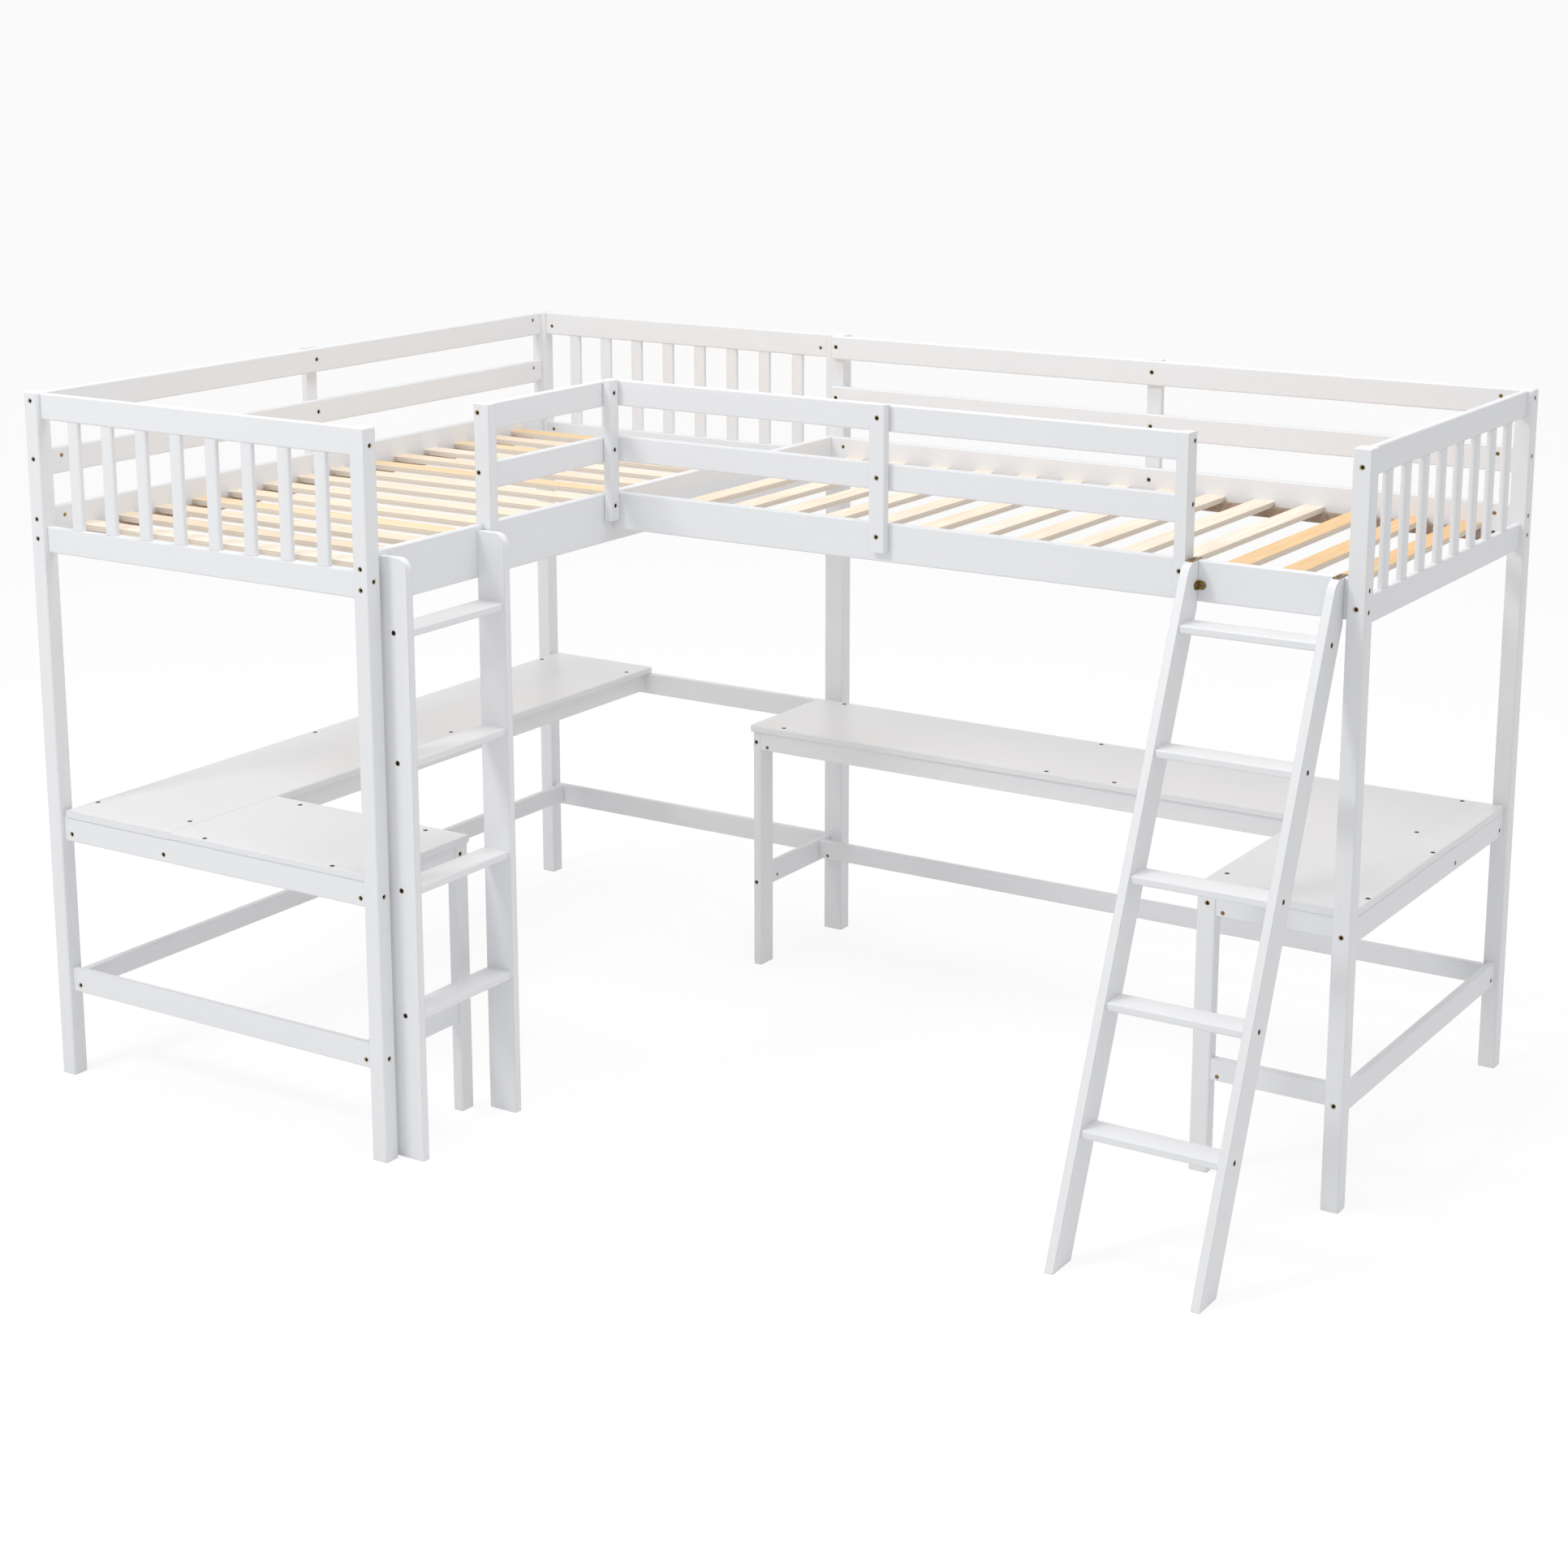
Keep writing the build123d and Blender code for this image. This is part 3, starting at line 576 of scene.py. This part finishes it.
def pocket(mesh, cells, deep, taper=1.0):
    """Sinks the level faces at the origin whose middle is in one of the cells."""
    chosen = []
    for face in mesh.faces:
        middle = face.calc_center_median()
        if abs(middle.z) < ON_FACE and abs(face.normal.z) > 0.9:
            if any(abs(middle.x) < x and abs(middle.y) < y for x, y in cells):
                chosen.append(face)
    # The sunk faces take the second finish, which is nearly black as painted shade in the hollow.
    made = bmesh.ops.extrude_face_region(mesh, geom=chosen)
    bmesh.ops.delete(mesh, geom=chosen, context="FACES")
    for item in made["geom"]:
        if isinstance(item, bmesh.types.BMVert):
            item.co = (item.co.x * taper, item.co.y * taper, item.co.z - deep)
        elif isinstance(item, bmesh.types.BMFace):
            item.material_index = 1


def cut(mesh, *planes):
    """Cuts the faces along planes across x or y, given as an axis and a distance."""
    for axis, distance in planes:
        normal = Vector((float(axis == 0), float(axis == 1), 0))
        for side in (-1, 1):
            geometry = mesh.verts[:] + mesh.edges[:] + mesh.faces[:]
            bmesh.ops.bisect_plane(mesh, geom=geometry, dist=1e-7,
                                   plane_co=normal * distance * side, plane_no=normal)


def nut_mesh(length):
    """A plain cylinder with a screwdriver slot in its outer end."""
    mesh = bmesh.new()
    rim = NUT_RADIUS - NUT_EASE
    made = turned(mesh, [circle(rim, -length), circle(NUT_RADIUS, -length + NUT_EASE),
                         circle(NUT_RADIUS, -NUT_EASE), circle(rim, 0)])
    mesh.faces.new(list(reversed(made[0])))
    mesh.faces.new(made[-1])
    bmesh.ops.recalc_face_normals(mesh, faces=mesh.faces)
    cut(mesh, (1, SLOT_HALF_WIDTH), (0, SLOT_HALF_LENGTH))
    pocket(mesh, [(SLOT_HALF_LENGTH, SLOT_HALF_WIDTH)], SLOT_DEEP)
    return mesh


SCREW_RADIUS = 5.9 * MM
SCREW_PROUD = 0.5 * MM
SCREW_KEY = 5 * MM
SCREW_CORE = 2 * MM
SCREW_TIP = 6 * MM


def screw_mesh(length):
    """A wide flat head that stands half a millimetre proud, with a hexagon socket."""
    mesh = bmesh.new()
    mouth = hexagon(SCREW_KEY, SCREW_PROUD - 0.1 * MM)
    made = turned(mesh, [
        circle(0.2 * SCREW_CORE, -length), circle(0.9 * SCREW_CORE, -length + SCREW_TIP),
        circle(SCREW_CORE, -2 * MM), circle(SCREW_RADIUS - 0.3 * MM, -0.4 * MM),
        circle(SCREW_RADIUS, 0.1 * MM), circle(SCREW_RADIUS, SCREW_PROUD - 0.2 * MM),
        circle(SCREW_RADIUS - 0.3 * MM, SCREW_PROUD), circle(0.8 * SCREW_KEY, SCREW_PROUD),
        mouth])
    mesh.faces.new(list(reversed(made[0])))
    pit_in(mesh, [mouth, hexagon(SCREW_KEY, 0.05 * MM)])
    return mesh


print("screw heads are", round(2 * SCREW_RADIUS / MM, 1), "mm wide")

# %% Copy them to every pin
def add_part(whole, part):
    """Moves the faces of one mesh under construction into another."""
    data = bpy.data.meshes.new("part")
    part.to_mesh(data)
    part.free()
    whole.from_mesh(data)
    bpy.data.meshes.remove(data)


def finished(mesh, name, finishes):
    """Turns a mesh under construction into mesh data with its finishes."""
    data = bpy.data.meshes.new(name)
    mesh.to_mesh(data)
    mesh.free()
    for finish in finishes:
        data.materials.append(finish)
    return data


def link_piece(name, data, body, slot, *nodes):
    """Puts a mesh in the scene as a piece that stands for some nodes."""
    piece = bpy.data.objects.new(name, data)
    bpy.context.scene.collection.objects.link(piece)
    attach(piece, body)
    if nodes:
        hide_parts(*nodes)
    return piece


def fasten(node, name, make, body, slot, finishes):
    """Replaces a node's pins by copies of a detailed fastener."""
    whole = bmesh.new()
    pins = islands(node)
    for corners in pins:
        place, length = seat(corners)
        part = make(length)
        bmesh.ops.transform(part, matrix=place, verts=part.verts)
        add_part(whole, part)
    data = finished(whole, name, finishes)
    print(name, "stands for", len(pins), "pins, with", len(data.polygons), "faces")
    return link_piece(name, data, body, slot, node)


fasten("connector_bolts", "socket_bolts", bolt_mesh, "frame", "brass", (zinc, black, paint["z"]))
fasten("barrel_nuts", "slotted_cross_nuts", nut_mesh, "frame", "brass", (zinc, black))
fasten("wood_screws", "board_and_tread_screws", screw_mesh, "frame", "dark_steel", (bronze, black))
fasten("slanted_ladder_screws", "slanted_tread_screws", screw_mesh, "slanted_ladder",
       "dark_steel", (bronze, black))

# %% [markdown]
# ## Spindles and slats with rounded edges
#
# The spindles' long edges are rounded by about 5 mm, and the slats' by 1.5 mm.
# Their solids have square edges, because there are many of them. A box with a
# Bevel modifier gives the real edge, so each of these nodes is replaced by boxes
# of the same size with rounded edges, all in one mesh.

# %% Rounded boxes
SPINDLE_ROUND = 5.5 * MM
SLAT_ROUND = 1.5 * MM
ROUND_STEPS = 4
SHARP = math.radians(30)
STRAW_SLATS = (3, 8, 11, 13)
HONEY_SLATS = (11, 12, 13)


def rounded_boxes(node, name, radius, slot, finishes, special=()):
    """Replaces each solid of a node by a box of its size with its long edges rounded.

    The solids are counted along the row. Those in special take the second finish.
    """
    mesh = bmesh.new()
    row = sorted(islands(node), key=lambda corners: sum(sum(limits(corners), Vector())))
    for number, corners in enumerate(row):
        earlier = set(mesh.faces)
        low, high = limits(corners)
        size = high - low
        axis = longest_axis(corners)
        grow = Matrix.Translation((low + high) / 2) @ Matrix.Diagonal((*size, 1))
        box = bmesh.ops.create_cube(mesh, size=1, matrix=grow)
        long_edges = [edge for corner in box["verts"] for edge in corner.link_edges
                      if abs((edge.verts[0].co - edge.verts[1].co)[axis]) > size[axis] / 2]
        bmesh.ops.bevel(mesh, geom=list(set(long_edges)), offset=radius, segments=ROUND_STEPS,
                        affect="EDGES", profile=0.5)
        for face in set(mesh.faces) - earlier:
            face.smooth = True
            face.material_index = int(number in special)
    data = finished(mesh, name, finishes)
    data.set_sharp_from_angle(angle=SHARP)
    print(name, "has", len(data.polygons), "faces")
    return link_piece(name, data, "frame", slot, node)


for end in ("left_bed_foot", "left_bed_head", "right_bed_end"):
    rounded_boxes(end + "_spindles", end + "_rounded_spindles", SPINDLE_ROUND, "white_pine",
                  [paint["z"]])
rounded_boxes("left_bed_slats", "left_bed_eased_slats", SLAT_ROUND, "slat_wood",
              [cream_x, straw_x], STRAW_SLATS)
rounded_boxes("right_bed_slats", "right_bed_eased_slats", SLAT_ROUND, "slat_wood",
              [cream_y, honey_y], HONEY_SLATS)

# %% [markdown]
# ## Hooks and brackets
#
# The hook strips and the small angle brackets are pressed from plated strip. A
# bracket's free leaf ends in a half circle, and each strip is held by pan-headed
# screws. The brackets are outlines given a thickness, and the screw heads are
# turned shapes, like the bolts.

# %% Pan-headed screws
PAN_RADIUS = 3 * MM
PAN_HEIGHT = 1.8 * MM
CROSS_HALF_WIDTH = 0.4 * MM
CROSS_HALF_LENGTH = 1.4 * MM
CROSS_DEEP = 1 * MM


def pan_head(mesh, at, out):
    """Adds a domed screw head with a cross recess, which faces along out."""
    part = bmesh.new()
    made = turned(part, [circle(PAN_RADIUS, 0), circle(PAN_RADIUS, 0.7 * MM),
                         circle(0.85 * PAN_RADIUS, 1.4 * MM), circle(0.5 * PAN_RADIUS, PAN_HEIGHT)])
    part.faces.new(list(reversed(made[0])))
    part.faces.new(made[-1])
    bmesh.ops.recalc_face_normals(part, faces=part.faces)
    bmesh.ops.translate(part, vec=(0, 0, -PAN_HEIGHT), verts=part.verts)
    cut(part, (0, CROSS_HALF_WIDTH), (1, CROSS_HALF_WIDTH), (0, CROSS_HALF_LENGTH),
        (1, CROSS_HALF_LENGTH))
    pocket(part, [(CROSS_HALF_LENGTH, CROSS_HALF_WIDTH), (CROSS_HALF_WIDTH, CROSS_HALF_LENGTH)],
           CROSS_DEEP, 0.7)
    turn = Vector(out).to_track_quat("Z", "Y").to_matrix().to_4x4()
    place = Matrix.Translation(Vector(at)) @ turn @ Matrix.Translation((0, 0, PAN_HEIGHT))
    bmesh.ops.transform(part, matrix=place, verts=part.verts)
    add_part(mesh, part)


print("pan heads are", round(2 * PAN_RADIUS / MM, 1), "mm wide")

# %% The brackets
LEAF = 2.5 * MM
ARC_STEPS = 8


def rounded_leaf(start, end, half):
    """The outline of a strip from start to end whose far end is a half circle."""
    way = 1 if end > start else -1
    middle = end - way * half
    points = [(start, -half), (middle, -half)]
    for k in range(1, ARC_STEPS):
        angle = -math.pi / 2 + math.pi * k / ARC_STEPS
        points.append((middle + way * half * math.cos(angle), half * math.sin(angle)))
    return points + [(middle, half), (start, half)]


def plate(mesh, points, thick):
    """A flat plate with the given outline of 3-D points, thickened along a vector."""
    front = [mesh.verts.new(point) for point in points]
    back = [mesh.verts.new(Vector(point) + thick) for point in points]
    mesh.faces.new(front)
    mesh.faces.new(list(reversed(back)))
    for k in range(len(points)):
        after = (k + 1) % len(points)
        mesh.faces.new((front[after], front[k], back[k], back[after]))


tread_low, tread_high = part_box("slanted_ladder_treads")
ladder_middle = (tread_low.x + tread_high.x) / 2
brackets = bmesh.new()
for corners in islands("slanted_ladder_brackets"):
    low, high = limits(corners)
    height, half = (low.z + high.z) / 2, (high.z - low.z) / 2
    on_left = low.x < ladder_middle
    side, tip, way = (low.x, high.x, 1) if on_left else (high.x, low.x, -1)
    along = [(x, high.y, height + z) for x, z in rounded_leaf(side, tip, half)]
    plate(brackets, along, Vector((0, -LEAF, 0)))
    inward = [(side, y, height + z) for y, z in rounded_leaf(high.y - LEAF, low.y, half)]
    plate(brackets, inward, Vector((way * LEAF, 0, 0)))
    pan_head(brackets, (tip - way * half, high.y - LEAF, height), (0, -1, 0))
    pan_head(brackets, (side + way * LEAF, low.y + half, height), (way, 0, 0))
bmesh.ops.recalc_face_normals(brackets, faces=brackets.faces)
bracket_data = finished(brackets, "rounded_brackets", (zinc, black))
link_piece("rounded_brackets", bracket_data, "slanted_ladder", "brass", "slanted_ladder_brackets")
print("brackets have", len(bracket_data.polygons), "faces")

# %% Screws in the hooks
HOOK_SCREWS_ALONG = (0.22, 0.48)
hook_screws = bmesh.new()
for corners in islands("slanted_ladder_hooks"):
    low, high = limits(corners)
    for share in HOOK_SCREWS_ALONG:
        at = ((low.x + high.x) / 2, low.y + share * (high.y - low.y), high.z)
        pan_head(hook_screws, at, (0, 0, 1))
hook_data = finished(hook_screws, "hook_screws", (zinc, black))
link_piece("hook_screws", hook_data, "slanted_ladder", "brass")
print("hook screws have", len(hook_data.polygons), "faces")

# %% [markdown]
# ## Studio
#
# The photograph has a plain white ground. The floor is pale and catches the
# bed's shadow. What the camera sees of it and of the sky is white, while the
# object is lit at a plain level: an even sky, a soft lamp high on the left in
# front, and a broad one overhead that brightens the tops of the treads. The
# floor is far wider than the view, so that its edge is never seen.

# %% Floor and sky
FLOOR_SIZE = 2000
FLOOR_BELOW = 0.5 * MM
FLOOR_WHITE = 0.72
FLOOR_GLOW = 1.1
SKY = 0.66
SKY_SEEN = 1.0


def seen_directly(material):
    """Is 1 for rays from the camera, in a mirror or through glass, and 0 for other light."""
    path = add_node(material, "LightPath")
    direct = add_node(material, "Math", {
        0: path.outputs["Is Camera Ray"], 1: path.outputs["Is Glossy Ray"]}, operation="MAXIMUM")
    every = add_node(material, "Math", {
        0: direct.outputs[0], 1: path.outputs["Is Transmission Ray"]}, operation="MAXIMUM")
    return every.outputs[0]


def studio_floor():
    """A matt pale floor that looks whiter than it is, so that only the shadow shows."""
    material, surface = new_material("studio_floor")
    material.node_tree.nodes.remove(surface)
    output = material.node_tree.nodes["Material Output"]
    matt = add_node(material, "BsdfDiffuse", {"Color": colour("#F2F2F2")})
    glow = add_node(material, "Emission", {"Color": colour("#FFFFFF"), "Strength": FLOOR_GLOW})
    seen = add_node(material, "MixShader", {
        0: FLOOR_WHITE, 1: matt.outputs[0], 2: glow.outputs[0]})
    choice = add_node(material, "MixShader", {
        0: seen_directly(material), 1: matt.outputs[0], 2: seen.outputs[0]})
    material.node_tree.links.new(choice.outputs[0], output.inputs["Surface"])
    return material


bpy.ops.mesh.primitive_plane_add(size=FLOOR_SIZE, location=(0, 0, -FLOOR_BELOW))
floor = bpy.context.object
floor.name = "studio_floor"
floor.data.materials.append(studio_floor())
floor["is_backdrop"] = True

world = bpy.data.worlds.new("studio_sky")
world.use_nodes = True
bpy.context.scene.world = world
for old in list(world.node_tree.nodes):
    world.node_tree.nodes.remove(old)
strength = add_node(world, "MapRange", {
    "Value": seen_directly(world), "To Min": SKY, "To Max": SKY_SEEN})
sky = add_node(world, "Background", {"Color": colour("#FFFFFF"), "Strength": strength.outputs[0]})
add_node(world, "OutputWorld", {"Surface": sky.outputs[0]})
print("sky strength", SKY)

# %% Lamps
BED_MIDDLE = (0, 0, 0.8)


def soft_lamp(name, place, size, power):
    """A round area lamp of a width in metres and a power in watts, facing the bed."""
    light = bpy.data.lights.new(name, "AREA")
    light.shape = "DISK"
    light.size = size
    light.energy = power
    lamp = bpy.data.objects.new(name, light)
    lamp.location = place
    lamp.rotation_mode = "QUATERNION"
    lamp.rotation_quaternion = (Vector(place) - Vector(BED_MIDDLE)).to_track_quat("Z", "Y")
    bpy.context.scene.collection.objects.link(lamp)
    return lamp


soft_lamp("key_left", (-2.0, -4.5, 5.0), 1.3, 92)
soft_lamp("overhead", (0.5, 0, 5.5), 3.0, 80)

# %% [markdown]
# ## Camera
#
# The photograph was taken from the right of the left bed, a little above the
# guard rails, with a lens of about twice the normal length. Its verticals were
# made upright, which is a large shift of the lens. The camera here looks down
# a little and shifts only a tenth of the frame, so that it stays useful from
# other sides.

# %% The photograph's viewpoint
CAMERA_AT = (3.6294, -5.6718, 2.6562)
CAMERA_YAW = math.radians(32.656)
CAMERA_DOWN = math.radians(12.831)
SENSOR_WIDTH = 36
LENS = 65.748
LENS_SHIFT = -0.1
SEES_AS_FAR_AS = 1500
camera_data = bpy.data.cameras.new("photo_camera")
camera_data.sensor_width = SENSOR_WIDTH
camera_data.lens = LENS
camera_data.shift_y = LENS_SHIFT
camera_data.clip_end = SEES_AS_FAR_AS
camera = bpy.data.objects.new("photo_camera", camera_data)
camera.location = CAMERA_AT
camera.rotation_euler = (math.pi / 2 - CAMERA_DOWN, 0, CAMERA_YAW)
bpy.context.scene.collection.objects.link(camera)
bpy.context.scene.camera = camera
bpy.context.scene.view_settings.view_transform = "Standard"
print("camera", CAMERA_AT, "lens", LENS)

# %% Sizes and the end
low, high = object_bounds()
print("visual box", [round(side, 4) for side in high - low])
